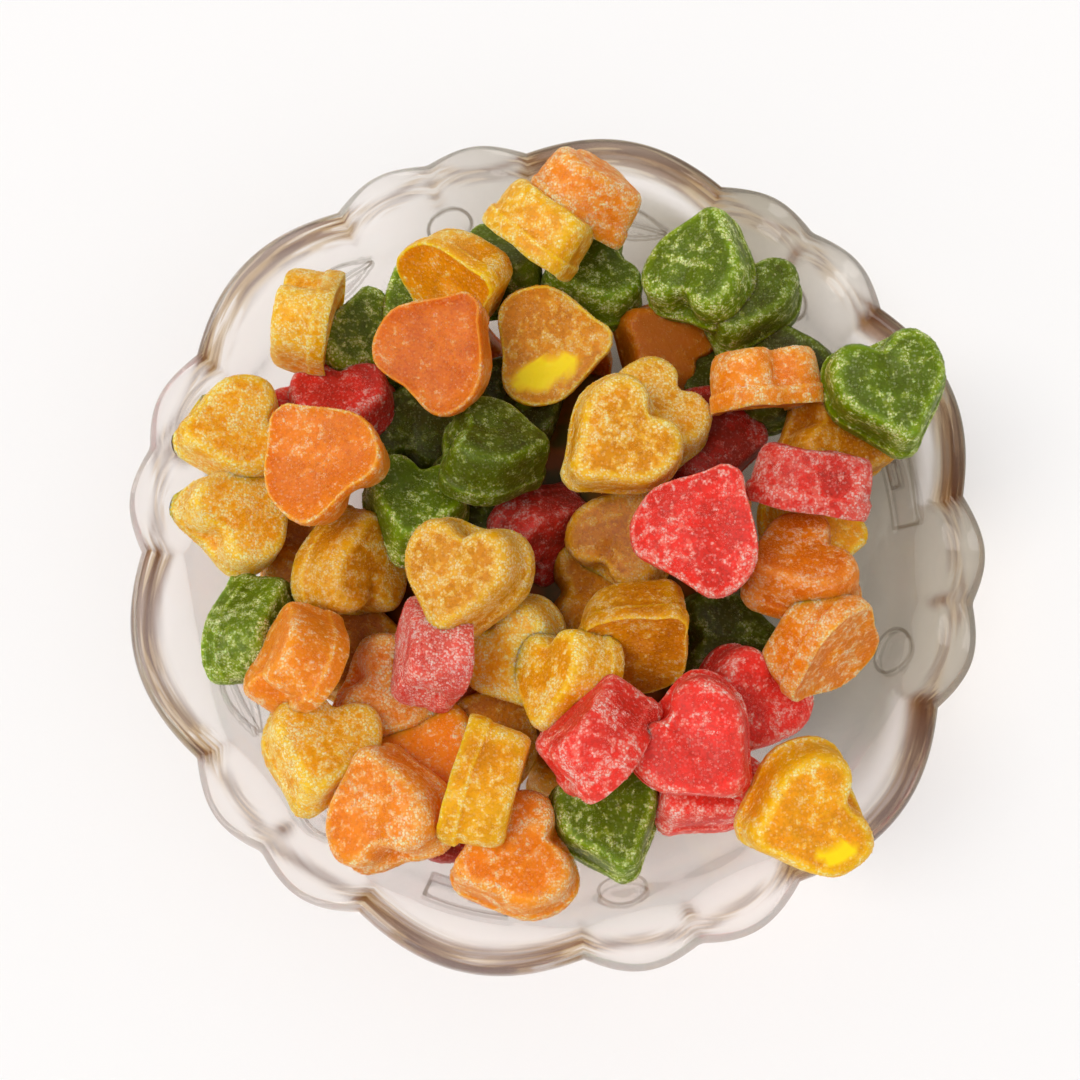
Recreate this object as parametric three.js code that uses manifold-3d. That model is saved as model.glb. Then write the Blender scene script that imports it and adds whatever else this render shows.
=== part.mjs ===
// A clear pressed-glass bowl with a scalloped rim, and the heap of sugared jelly hearts that it holds.
// Millimetres, +Z up. The origin is under the middle of the bowl's flat foot.

import * as THREE from "three";
import { mergeVertices } from "three/addons/utils/BufferGeometryUtils.js";
import Module from "manifold-3d";

const wasm = await Module();
wasm.setup();

// ---- driving dimensions -------------------------------------------------------------------------

const RIM_RADIUS = 90; // to the valleys between the rim's scallops
const RIM_HEIGHT = 55; // top of the rim above the table
const FOOT_RADIUS = 42; // the flat that the bowl rests on
const FLOOR_THICKNESS = 5;
const ROUND_STEPS = 72; // straight edges round the bowl

const PATTERN_REPEATS = 6; // one long scallop and two petals, six times round
const PATTERN_TURN = 19; // degrees from +X to the middle of the first long scallop
const SCALLOP_BULGE = 4; // how far a long scallop stands out from the valleys
const PETAL_BULGE = 3.2; // how far a petal stands out from the line of its two valleys
const PETAL_VALLEY = 1.6; // how far the valley between two petals stands out
const SCALLOP_LIFT = 1; // the long scallops stand up, and the petals turn down by as much
const SCALLOP_DEPTH = 14; // the scallops fade out this far below the rim

const HEART_WIDTH = 26;
const HEART_LENGTH = 25;
const HEART_THICKNESS = 13;
const NOTCH_DEPTH = 3.3;
const TIP_BLUNTING = 2.6; // half the width of the blunt tip
const SHOULDER_SHARE = 0.75; // of the thickness, where the drafted side turns into the moulded face
const SHOULDER_SCALE = 0.92; // the outline there, of the flat face's outline
const CROWN_SCALE = 0.74; // the outline of the moulded face
const CURVE_STEPS = 2; // straight edges to each curve of the heart

const CONTENTS_GAP = 0.4; // between the candies and the glass
const CORE_TOP = 43; // the hidden lower candies fill the bowl to here in the middle
const CORE_EDGE = 37; // and to here along the wall
const SUPPORT_WIDTH = 9; // of the posts that stand for the hidden candies between core and top
const SUPPORT_FROM = 54; // candies with their middle above this stand on a post

const GLASS_COLOUR = 0xdcd6cf;
const JELLY_COLOUR = 0xe39a2a;

// ---- the candies that show, each one placed by hand, from the bottom of the heap to the top -------
// x, y, z of the middle, the way the tip points, how far the upper side leans and which way it leans
// (degrees, anticlockwise from +X), which side is up, and the size as a share of the usual one.

const MOULDED = "moulded";
const FLAT = "flat";

const CANDIES = [
  [26, 47, 42, 150, 20, 300, MOULDED, 1],
  [38, 23, 42, 0, 10, 0, MOULDED, 1],
  [60, 0, 42, 0, 10, 0, MOULDED, 1],
  [-31, 56, 43, 120, 10, 90, MOULDED, 1],
  [-62, 22, 44, 200, 10, 0, MOULDED, 1],
  [-44, 48, 44, 90, 20, 0, MOULDED, 1],
  [-15, 65, 44, 100, 30, 90, MOULDED, 1],
  [-34, -36, 46, 340, 15, 0, MOULDED, 1],
  [-26, -51, 46, 300, 15, 100, MOULDED, 1],
  [8, 62, 46, 200, 15, 60, MOULDED, 1],
  [16, 0, 46, 60, 15, 210, MOULDED, 1],
  [43, -39, 46, 240, 15, 0, MOULDED, 1],
  [54, 38, 46, 100, 20, 180, MOULDED, 1],
  [-64, -22, 48, 95, 70, 0, MOULDED, 1],
  [-49, 28, 48, 270, 20, 90, MOULDED, 1],
  [-44, -7, 48, 95, 55, 350, MOULDED, 1.04],
  [-8, -29, 48, 300, 20, 200, MOULDED, 1],
  [-31, 4, 50, 260, 20, 60, MOULDED, 1],
  [1, 43, 50, 5, 20, 260, FLAT, 1.04],
  [12, -63, 50, 290, 15, 100, MOULDED, 1],
  [31, -55, 50, 225, 15, 80, MOULDED, 1],
  [65, 20, 50, 340, 15, 0, MOULDED, 1],
  [-68, 3, 52, 45, 30, 0, MOULDED, 0.98],
  [56, -26, 52, 220, 60, 310, FLAT, 1],
  [43, 52, 53, 250, 10, 160, MOULDED, 1],
  [21, 24, 54, 220, 15, 40, MOULDED, 1.04],
  [52, -10, 54, 200, 30, 100, MOULDED, 1],
  [-9, -70, 55, 200, 15, 90, MOULDED, 1.03],
  [-56, 45, 56, 215, 80, 170, MOULDED, 1],
  [-48, -49, 56, 260, 30, 50, MOULDED, 1],
  [-26, -27, 56, 100, 70, 175, MOULDED, 1],
  [-12, 16, 56, 355, 35, 60, MOULDED, 1],
  [45, 32, 56, 115, 75, 95, MOULDED, 1],
  [-71, 20, 57, 195, 20, 0, MOULDED, 1],
  [-20, 56, 57, 10, 60, 235, FLAT, 1],
  [2, -35, 58, 265, 50, 170, MOULDED, 0.95],
  [19, -23, 58, 50, 55, 265, FLAT, 1],
  [34, 59, 58, 65, 25, 180, MOULDED, 1.05],
  [-53, -29, 60, 90, 60, 155, MOULDED, 1],
  [-34, -59, 60, 105, 20, 170, MOULDED, 1],
  [-13, -54, 60, 100, 90, 345, MOULDED, 1.04],
  [57, 8, 60, 305, 70, 80, MOULDED, 1.03],
  [-19, -14, 62, 255, 20, 185, MOULDED, 1.03],
  [9, 74, 62, 320, 55, 50, MOULDED, 1],
  [-49, 12, 64, 130, 10, 200, FLAT, 1.02],
  [-23, 37, 64, 50, 20, 230, FLAT, 1.05],
  [-1, 64, 64, 275, 65, 50, MOULDED, 1],
  [9, -45, 66, 50, 75, 135, MOULDED, 1.03],
  [29, -48, 66, 315, 10, 200, MOULDED, 1.04],
  [31, -3, 66, 60, 10, 220, FLAT, 1.07],
  [48, -61, 67, 200, 10, 290, MOULDED, 1.05],
  [71, 25, 67, 285, 10, 200, MOULDED, 1.05],
  [13, 14, 68, 220, 10, 300, MOULDED, 1.05],
];

// ---- small helpers --------------------------------------------------------------------------------

/** A closed three.js geometry as a manifold solid. */
function toSolid(geometry) {
  const bare = geometry.clone();
  bare.deleteAttribute("normal");
  bare.deleteAttribute("uv");
  const merged = mergeVertices(bare, 1e-4);
  const corners = merged.index.array;
  const kept = [];
  for (let i = 0; i < corners.length; i += 3) {
    const [a, b, c] = [corners[i], corners[i + 1], corners[i + 2]];
    if (a !== b && b !== c && c !== a) kept.push(a, b, c);
  }
  return new wasm.Manifold(
    new wasm.Mesh({
      numProp: 3,
      vertProperties: new Float32Array(merged.attributes.position.array),
      triVerts: new Uint32Array(kept),
    }),
  );
}

/** A manifold solid as a three.js geometry. */
function toGeometry(solid) {
  const mesh = solid.getMesh();
  const geometry = new THREE.BufferGeometry();
  geometry.setAttribute("position", new THREE.BufferAttribute(new Float32Array(mesh.vertProperties), 3));
  geometry.setIndex(new THREE.BufferAttribute(new Uint32Array(mesh.triVerts), 1));
  geometry.computeVertexNormals();
  return geometry;
}

/** A solid of revolution about Z from [radius, height] pairs that start and end on the axis. */
function turned(profile) {
  const points = profile.map(([radius, height]) => new THREE.Vector2(radius, height));
  const geometry = new THREE.LatheGeometry(points, ROUND_STEPS);
  geometry.rotateX(Math.PI / 2);
  return geometry;
}

// ---- the glass bowl -------------------------------------------------------------------------------

const OUTER_WALL = [
  [FOOT_RADIUS, 0],
  [58, 9],
  [70.5, 21.5],
  [79, 35],
  [84, 46],
  [RIM_RADIUS - 1, RIM_HEIGHT - 4],
];
const RIM = [
  [RIM_RADIUS, RIM_HEIGHT - 1.5],
  [RIM_RADIUS - 2, RIM_HEIGHT],
  [RIM_RADIUS - 4.5, RIM_HEIGHT - 1.5],
];
const INNER_WALL = [
  [80.2, 46],
  [74.6, 35.5],
  [66, 23.5],
  [54, 12.5],
  [38, FLOOR_THICKNESS + 0.8],
];

/** How far the rim stands out, and how far up, at an angle from the middle of a long scallop. */
function scallop(angle) {
  const period = 360 / PATTERN_REPEATS;
  const edge = period / 4;
  const off = Math.abs(THREE.MathUtils.euclideanModulo(angle + period / 2, period) - period / 2);
  if (off <= edge) {
    const wave = Math.cos((Math.PI / 2) * (off / edge));
    return { out: SCALLOP_BULGE * wave, up: SCALLOP_LIFT * wave };
  }
  const along = (off - edge) / edge;
  const wave = Math.sin(Math.PI * along);
  return { out: PETAL_VALLEY * along + PETAL_BULGE * wave, up: -SCALLOP_LIFT * wave };
}

/** Presses the scallops into a turned form, fading them out below the rim. */
function pressScallops(geometry) {
  const position = geometry.attributes.position;
  for (let i = 0; i < position.count; i += 1) {
    const [x, y, z] = [position.getX(i), position.getY(i), position.getZ(i)];
    const radius = Math.hypot(x, y);
    const share = THREE.MathUtils.smoothstep(z, RIM_HEIGHT - SCALLOP_DEPTH, RIM_HEIGHT);
    if (radius > 0 && share > 0) {
      const { out, up } = scallop(THREE.MathUtils.radToDeg(Math.atan2(y, x)));
      const grow = (radius + out * share) / radius;
      position.setXYZ(i, x * grow, y * grow, z + up * share);
    }
  }
  geometry.rotateZ(THREE.MathUtils.degToRad(PATTERN_TURN));
  return geometry;
}

function makeBowl() {
  const profile = [[0, 0], ...OUTER_WALL, ...RIM, ...INNER_WALL, [0, FLOOR_THICKNESS]];
  return toSolid(pressScallops(turned(profile)));
}

/** The room that the candies may take: inside the glass, and over the rim. */
function makeRoom() {
  const wall = INNER_WALL.map(([radius, height]) => [radius - CONTENTS_GAP, height + CONTENTS_GAP]);
  const lip = RIM.map(([radius, height]) => [radius, height + CONTENTS_GAP]);
  const profile = [
    [0, FLOOR_THICKNESS + CONTENTS_GAP],
    ...wall.reverse(),
    [lip[2][0] - CONTENTS_GAP, lip[2][1]],
    lip[1],
    [RIM_RADIUS + 20, RIM_HEIGHT + CONTENTS_GAP],
    [RIM_RADIUS + 20, 2 * RIM_HEIGHT],
    [0, 2 * RIM_HEIGHT],
  ];
  return toSolid(pressScallops(turned(profile)));
}

// ---- the jelly hearts -----------------------------------------------------------------------------

/** The outline of a heart, its tip along +X. */
function heartShape() {
  const back = -HEART_LENGTH / 2;
  const side = HEART_WIDTH / 2;
  const tip = HEART_LENGTH / 2;
  const shape = new THREE.Shape();
  shape.moveTo(back + NOTCH_DEPTH, 0);
  shape.lineTo(back, -0.5 * side);
  shape.bezierCurveTo(back, -0.8 * side, back + 3.2, -side, back + 9, -side);
  shape.bezierCurveTo(back + 15, -side, tip - 7, -TIP_BLUNTING - 4.7, tip, -TIP_BLUNTING);
  shape.lineTo(tip, TIP_BLUNTING);
  shape.bezierCurveTo(tip - 7, TIP_BLUNTING + 4.7, back + 15, side, back + 9, side);
  shape.bezierCurveTo(back + 3.2, side, back, 0.8 * side, back, 0.5 * side);
  shape.lineTo(back + NOTCH_DEPTH, 0);
  return shape;
}

/** One heart about its own middle: flat side down, drafted sides, and a smaller moulded face on top. */
function heartGeometry() {
  const geometry = new THREE.ExtrudeGeometry(heartShape(), {
    depth: HEART_THICKNESS,
    steps: 2,
    bevelEnabled: false,
    curveSegments: CURVE_STEPS,
  });
  const levels = [
    { height: 0, scale: 1 },
    { height: SHOULDER_SHARE * HEART_THICKNESS, scale: SHOULDER_SCALE },
    { height: HEART_THICKNESS, scale: CROWN_SCALE },
  ];
  const position = geometry.attributes.position;
  for (let i = 0; i < position.count; i += 1) {
    const level = levels[Math.round((2 * position.getZ(i)) / HEART_THICKNESS)];
    position.setXYZ(
      i,
      position.getX(i) * level.scale,
      position.getY(i) * level.scale,
      level.height - HEART_THICKNESS / 2,
    );
  }
  return geometry;
}

/** Turns a heart the way a row of the table says, and puts it in its place. */
function placement([x, y, z, tip, lean, towards, up, size]) {
  const rad = THREE.MathUtils.degToRad;
  const matrix = new THREE.Matrix4().makeTranslation(x, y, z);
  matrix.multiply(new THREE.Matrix4().makeRotationZ(rad(towards)));
  matrix.multiply(new THREE.Matrix4().makeRotationY(rad(lean)));
  matrix.multiply(new THREE.Matrix4().makeRotationZ(rad(tip - towards)));
  if (up === FLAT) matrix.multiply(new THREE.Matrix4().makeRotationX(Math.PI));
  return matrix.scale(new THREE.Vector3(size, size, size));
}

/** The hidden lower candies, as one core that fills the bowl under those that show. */
function makeCore() {
  return toSolid(
    turned([
      [0, 0],
      [RIM_RADIUS, 0],
      [RIM_RADIUS, CORE_EDGE],
      [FOOT_RADIUS, CORE_TOP],
      [0, CORE_TOP],
    ]),
  );
}

/** A post from the core up into a candy, in the place of the hidden candies that hold it up. */
function makeSupport([x, y, z]) {
  const foot = CORE_EDGE - SUPPORT_WIDTH;
  const post = new THREE.BoxGeometry(SUPPORT_WIDTH, SUPPORT_WIDTH, z - foot);
  return toSolid(post.translate(x, y, (z + foot) / 2));
}

/** The whole heap as one solid: its outer shell, without the pockets of air that nothing can reach. */
function makeHeap() {
  const heart = heartGeometry();
  let heap = makeCore();
  for (const row of CANDIES) {
    heap = heap.add(toSolid(heart.clone().applyMatrix4(placement(row))));
    if (row[2] > SUPPORT_FROM) heap = heap.add(makeSupport(row));
  }
  const shells = heap.intersect(makeRoom()).decompose();
  return shells.reduce((outer, shell) => (shell.volume() > outer.volume() ? shell : outer));
}

// ---- the object -----------------------------------------------------------------------------------

const glass = new THREE.MeshStandardMaterial({
  name: "clear_glass",
  color: GLASS_COLOUR,
  roughness: 0.05,
  metalness: 0,
});
const jelly = new THREE.MeshStandardMaterial({
  name: "sugared_jelly",
  color: JELLY_COLOUR,
  roughness: 0.5,
  metalness: 0,
});

function addPiece(group, name, solid, material) {
  const mesh = new THREE.Mesh(toGeometry(solid), material);
  mesh.name = name;
  group.add(mesh);
}

const group = new THREE.Group();
addPiece(group, "bowl", makeBowl(), glass);
addPiece(group, "candy_heap", makeHeap(), jelly);

export default group;
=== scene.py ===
"""A clear pressed-glass bowl with a scalloped rim, heaped with sugared jelly hearts.

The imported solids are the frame. The bowl is dressed with a finely turned and pressed glass wall, and the
heap is replaced by single hearts, each from the same mould, with loose sugar crystals on top, over a
smaller core that nothing shows of.
"""

import functools
import logging
import math
import random
from collections.abc import Sequence
from dataclasses import dataclass, field
from enum import Enum

import bmesh
import bpy
import numpy as np
from mathutils import Matrix, Vector, noise


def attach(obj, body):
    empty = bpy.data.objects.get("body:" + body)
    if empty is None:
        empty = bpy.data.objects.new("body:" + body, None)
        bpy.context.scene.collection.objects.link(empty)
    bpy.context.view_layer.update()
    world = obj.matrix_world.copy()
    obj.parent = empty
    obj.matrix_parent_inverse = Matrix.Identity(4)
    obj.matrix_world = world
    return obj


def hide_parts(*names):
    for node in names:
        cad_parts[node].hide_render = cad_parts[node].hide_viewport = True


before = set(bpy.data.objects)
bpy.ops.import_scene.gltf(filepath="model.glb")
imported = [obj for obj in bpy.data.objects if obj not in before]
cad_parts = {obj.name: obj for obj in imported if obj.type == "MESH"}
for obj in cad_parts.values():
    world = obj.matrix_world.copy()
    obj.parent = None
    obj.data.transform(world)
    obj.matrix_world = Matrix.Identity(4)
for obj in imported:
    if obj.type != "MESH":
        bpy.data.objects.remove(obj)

log = logging.getLogger("sweets")

MM = 0.001
ROOT = "root"
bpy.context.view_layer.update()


class Flavour(Enum):
    """The four jellies, by the name that their pieces and slots carry."""

    ORANGE = "orange"
    YELLOW = "yellow"
    RED = "red"
    GREEN = "green"


class Side(Enum):
    """Which of a candy's two faces is up."""

    MOULDED = "moulded"
    FLAT = "flat"


ORANGE, YELLOW, RED, GREEN = Flavour.ORANGE, Flavour.YELLOW, Flavour.RED, Flavour.GREEN
MOULDED, FLAT = Side.MOULDED, Side.FLAT


@dataclass(frozen=True)
class Candy:
    """One heart's place in the heap: lengths in millimetres, angles in degrees anticlockwise from +X."""

    flavour: Flavour
    x: float
    y: float
    z: float
    tip: float
    lean: float
    towards: float
    up: Side
    size: float
    frost: float
    shade: float

    def matrix(self) -> Matrix:
        """The turn and place of the heart, from the mould's own frame to the bowl's.

        Returns:
            A matrix in millimetres.
        """
        turn = Matrix.Rotation(math.radians(self.towards), 4, "Z")
        turn = turn @ Matrix.Rotation(math.radians(self.lean), 4, "Y")
        turn = turn @ Matrix.Rotation(math.radians(self.tip - self.towards), 4, "Z")
        if self.up is FLAT:
            turn = turn @ Matrix.Rotation(math.pi, 4, "X")
        place = Matrix.Translation((self.x, self.y, self.z))
        return place @ turn @ Matrix.Scale(self.size, 4)


# The candies placed one by one, lowest first. The tip points the way that the first angle says, and the
# candy leans over by the second towards the third. Frost is how much sugar is on it. Shade is how deep it
# lies in the heap's shade, from 0 to 1, and below 0 for the palest.
# The shade is painted into the colour: the deeper a heart lies, the darker it is painted, and below 0 it is
# painted lighter.
SHOWN = [
    Candy(YELLOW, -43, -25, 34, 0, 10, 0, MOULDED, 1, 0.4, 0.6),
    Candy(YELLOW, -13, -43, 39, 60, 10, 0, MOULDED, 1, 0.5, 0.6),
    Candy(GREEN, 38, 43, 37, 20, 10, 0, MOULDED, 1, 0.25, 0.7),
    Candy(YELLOW, 11, -12, 34, 0, 10, 0, MOULDED, 1, 0.4, 0.6),
    Candy(GREEN, 41, -23, 34, 0, 10, 0, MOULDED, 1, 0.25, 0.7),
    Candy(YELLOW, -56, -2, 36, 0, 10, 0, MOULDED, 1, 0.5, 0.6),
    Candy(ORANGE, -19, -29, 36, 0, 10, 0, MOULDED, 1, 0.3, 0.35),
    Candy(GREEN, -33, 28, 38, 80, 10, 0, MOULDED, 1, 0.2, 0.7),
    Candy(RED, -20, -61, 38, 0, 10, 0, MOULDED, 1, 0.2, 0.75),
    Candy(GREEN, -18, 9, 38, 0, 10, 0, MOULDED, 1, 0.25, 0.7),
    Candy(GREEN, -7, 34, 38, 30, 10, 0, MOULDED, 1, 0.2, 0.7),
    Candy(RED, -1, 2, 38, 45, 55, 315, MOULDED, 1, 0.3, 0.6),
    Candy(YELLOW, 26, 47, 42, 150, 20, 300, MOULDED, 1, 0.25, 1),
    Candy(RED, 38, 23, 42, 0, 10, 0, MOULDED, 1, 0.3, 0.75),
    Candy(YELLOW, 60, 0, 42, 0, 10, 0, MOULDED, 1, 0.3, 0),
    Candy(GREEN, -31, 56, 43, 120, 10, 90, MOULDED, 1, 0.3, 0),
    Candy(RED, -62, 22, 44, 200, 10, 0, MOULDED, 1, 0.3, 0),
    Candy(GREEN, -44, 48, 44, 90, 20, 0, MOULDED, 1, 0.6, 0),
    Candy(GREEN, -15, 65, 44, 100, 30, 90, MOULDED, 1, 0.3, 0.3),
    Candy(ORANGE, -34, -36, 46, 340, 15, 0, MOULDED, 1, 1.2, 0),
    Candy(ORANGE, -26, -51, 46, 300, 15, 100, MOULDED, 1, 0.2, -0.2),
    Candy(GREEN, 8, 62, 46, 200, 15, 60, MOULDED, 1, 0.5, 0.15),
    Candy(YELLOW, 16, 0, 46, 60, 15, 210, MOULDED, 1, 0.6, 0.6),
    Candy(RED, 43, -39, 46, 240, 15, 0, MOULDED, 1, 0.4, 0),
    Candy(GREEN, 54, 38, 46, 100, 20, 180, MOULDED, 1, 0.3, 0.7),
    Candy(GREEN, -64, -22, 48, 95, 70, 0, MOULDED, 1, 0.6, 0),
    Candy(RED, -49, 28, 48, 270, 20, 90, MOULDED, 1, 0.3, 0.3),
    Candy(YELLOW, -44, -7, 48, 95, 55, 350, MOULDED, 1.04, 0.6, 0.35),
    Candy(YELLOW, -8, -29, 48, 300, 20, 200, MOULDED, 1, 1.2, -0.3),
    Candy(GREEN, -31, 4, 50, 260, 20, 60, MOULDED, 1, 0.4, 0),
    Candy(YELLOW, 1, 43, 50, 5, 20, 260, FLAT, 1.04, 0.8, 0.25),
    Candy(GREEN, 12, -63, 50, 290, 15, 100, MOULDED, 1, 0.45, 0),
    Candy(RED, 31, -55, 50, 225, 15, 80, MOULDED, 1, 0.6, 0),
    Candy(YELLOW, 65, 20, 50, 340, 15, 0, MOULDED, 1, 0.45, 0.6),
    Candy(YELLOW, -68, 3, 52, 45, 30, 0, MOULDED, 0.98, 1.2, -0.2),
    Candy(ORANGE, 56, -26, 52, 220, 60, 310, FLAT, 1, 0.75, 0),
    Candy(GREEN, 43, 52, 53, 250, 10, 160, MOULDED, 1, 0.3, 0.4),
    Candy(YELLOW, 21, 24, 54, 220, 15, 40, MOULDED, 1.04, 1.1, 0.1),
    Candy(ORANGE, 52, -10, 54, 200, 30, 100, MOULDED, 1, 0.6, 0.35),
    Candy(ORANGE, -9, -70, 55, 200, 15, 90, MOULDED, 1.03, 0.6, -0.1),
    Candy(YELLOW, -56, 45, 56, 215, 80, 170, MOULDED, 1, 0.85, 0),
    Candy(YELLOW, -48, -49, 56, 260, 30, 50, MOULDED, 1, 1.1, -0.2),
    Candy(RED, -26, -27, 56, 100, 70, 175, MOULDED, 1, 1.5, 0.1),
    Candy(GREEN, -12, 16, 56, 355, 35, 60, MOULDED, 1, 0.2, 0.5),
    Candy(ORANGE, 45, 32, 56, 115, 75, 95, MOULDED, 1, 0.55, 0),
    Candy(YELLOW, -71, 20, 57, 195, 20, 0, MOULDED, 1, 1.1, -0.2),
    Candy(YELLOW, -20, 56, 57, 10, 60, 235, FLAT, 1, 0.35, 0),
    Candy(YELLOW, 2, -35, 58, 265, 50, 170, MOULDED, 0.95, 0.7, 0),
    Candy(YELLOW, 19, -23, 58, 50, 55, 265, FLAT, 1, 0.45, 0.45),
    Candy(GREEN, 34, 59, 58, 65, 25, 180, MOULDED, 1.05, 0.5, 0),
    Candy(ORANGE, -53, -29, 60, 90, 60, 155, MOULDED, 1, 0.35, 0),
    Candy(ORANGE, -34, -59, 60, 105, 20, 170, MOULDED, 1, 0.8, -0.1),
    Candy(YELLOW, -13, -54, 60, 100, 90, 345, MOULDED, 1.04, 0.35, 0.05),
    Candy(RED, 57, 8, 60, 305, 70, 80, MOULDED, 1.03, 0.6, 0.25),
    Candy(YELLOW, -19, -14, 62, 255, 20, 185, MOULDED, 1.03, 1, 0.2),
    Candy(ORANGE, 9, 74, 62, 320, 55, 50, MOULDED, 1, 0.9, -0.1),
    Candy(ORANGE, -49, 12, 64, 130, 10, 200, FLAT, 1.02, 0.3, 0.12),
    Candy(ORANGE, -23, 37, 64, 50, 20, 230, FLAT, 1.05, 0.2, 0.4),
    Candy(YELLOW, -1, 64, 64, 275, 65, 50, MOULDED, 1, 0.5, 0),
    Candy(RED, 9, -45, 66, 50, 75, 135, MOULDED, 1.03, 0.35, 0),
    Candy(RED, 29, -48, 66, 315, 10, 200, MOULDED, 1.04, 0.15, 0),
    Candy(RED, 31, -3, 66, 60, 10, 220, FLAT, 1.07, 0.5, 0),
    Candy(YELLOW, 48, -61, 67, 200, 10, 290, MOULDED, 1.05, 0.3, 0),
    Candy(GREEN, 71, 25, 67, 285, 10, 200, MOULDED, 1.05, 0.3, 0.05),
    Candy(YELLOW, 13, 14, 68, 220, 10, 300, MOULDED, 1.05, 0.9, 0.1),
]

# Bare bevels that light comes out of, free of sugar, with a painted glow: x, y, the turn of the long way,
# half its length, half its width, and the lowest z.
BARE_GLOWING_BEVELS = (
    (-1.8, 35.2, 19, 7.8, 3.3, 44.0),
    (53.7, -67.8, 12, 4.0, 1.9, 58.0),
)


# ---- helpers --------------------------------------------------------------------------------------


def smoothstep(value: float, low: float, high: float) -> float:
    """A soft step from 0 at low to 1 at high."""
    share = min(1.0, max(0.0, (value - low) / (high - low)))
    return share * share * (3 - 2 * share)


def curve_through(points: list[tuple[float, float]], spacing: float) -> list[tuple[float, float]]:
    """A smooth line through a few points, evenly stepped.

    Args:
        points: the points that shape the line.
        spacing: the distance between the points of the result.

    Returns:
        The stepped line, with the first and the last point kept.
    """
    parts = 24
    knots = [Vector(p) for p in points]
    knots = [2 * knots[0] - knots[1], *knots, 2 * knots[-1] - knots[-2]]
    fine = []
    for a, b, c, d in zip(knots, knots[1:], knots[2:], knots[3:]):
        for t in (i / parts for i in range(parts)):
            square = (2 * a - 5 * b + 4 * c - d) * t * t
            cube = (3 * b - a - 3 * c + d) * t * t * t
            fine.append(0.5 * ((2 * b) + (c - a) * t + square + cube))
    fine.append(knots[-2])
    lengths = np.cumsum([0.0] + [(q - p).length for p, q in zip(fine, fine[1:])])
    count = max(2, round(lengths[-1] / spacing))
    wanted = np.linspace(0, lengths[-1], count + 1)
    xs = np.interp(wanted, lengths, [p.x for p in fine])
    ys = np.interp(wanted, lengths, [p.y for p in fine])
    return list(zip(xs.tolist(), ys.tolist()))


def add_object(name: str, data: bpy.types.ID) -> bpy.types.Object:
    """Makes an object of a mesh, a lamp or a camera.

    Args:
        name: the object's name.
        data: what it shows.

    Returns:
        The object, linked to the scene.
    """
    made = bpy.data.objects.new(name, data)
    bpy.context.scene.collection.objects.link(made)
    return made


def new_piece(name: str, mesh: bpy.types.Mesh, material: bpy.types.Material) -> bpy.types.Object:
    """Makes an object of a mesh, with a finish, that rides with the bowl.

    Args:
        name: the piece's name.
        mesh: its mesh, in metres, in place.
        material: its finish.

    Returns:
        The object, linked to the scene.
    """
    piece = add_object(name, mesh)
    mesh.materials.append(material)
    mesh.polygons.foreach_set("use_smooth", [True] * len(mesh.polygons))
    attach(piece, ROOT)
    log.info("%s: %d faces", name, len(mesh.polygons))
    return piece


def mesh_from(bm: bmesh.types.BMesh, name: str) -> bpy.types.Mesh:
    """Turns a bmesh in millimetres into a mesh in metres, and frees it.

    Args:
        bm: the bmesh.
        name: the mesh's name.

    Returns:
        The mesh.
    """
    bmesh.ops.scale(bm, vec=(MM, MM, MM), verts=bm.verts)
    mesh = bpy.data.meshes.new(name)
    bm.to_mesh(mesh)
    bm.free()
    return mesh


def turned(profile: Sequence[tuple[float, float]], steps: int) -> bmesh.types.BMesh:
    """Turns a profile once round the bowl's axis.

    Args:
        profile: pairs of radius and height in millimetres, from the axis to the axis.
        steps: how many steps go round.

    Returns:
        The bmesh, with its doubles merged.
    """
    bm = bmesh.new()
    verts = [bm.verts.new((r, 0, z)) for r, z in profile]
    edges = [bm.edges.new(pair) for pair in zip(verts, verts[1:])]
    bmesh.ops.spin(
        bm, geom=verts + edges, cent=(0, 0, 0), axis=(0, 0, 1), angle=2 * math.pi,
        steps=steps, use_merge=True, use_duplicate=False,
    )
    bmesh.ops.remove_doubles(bm, verts=bm.verts, dist=1e-4)
    return bm


def mark(mesh: bpy.types.Mesh, name: str, values: np.ndarray) -> None:
    """Gives each point of a mesh a number, which its finish reads by name."""
    attribute = mesh.attributes.new(name, "FLOAT", "POINT")
    attribute.data.foreach_set("value", values.astype(np.float32))


# ---- the shape of the glass ----------------------------------------------------------------------


class Motif(Enum):
    """The pressed ornaments on the outside of the wall."""

    LEAF = "leaf"
    FRAME = "frame"
    RING = "ring"


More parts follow.
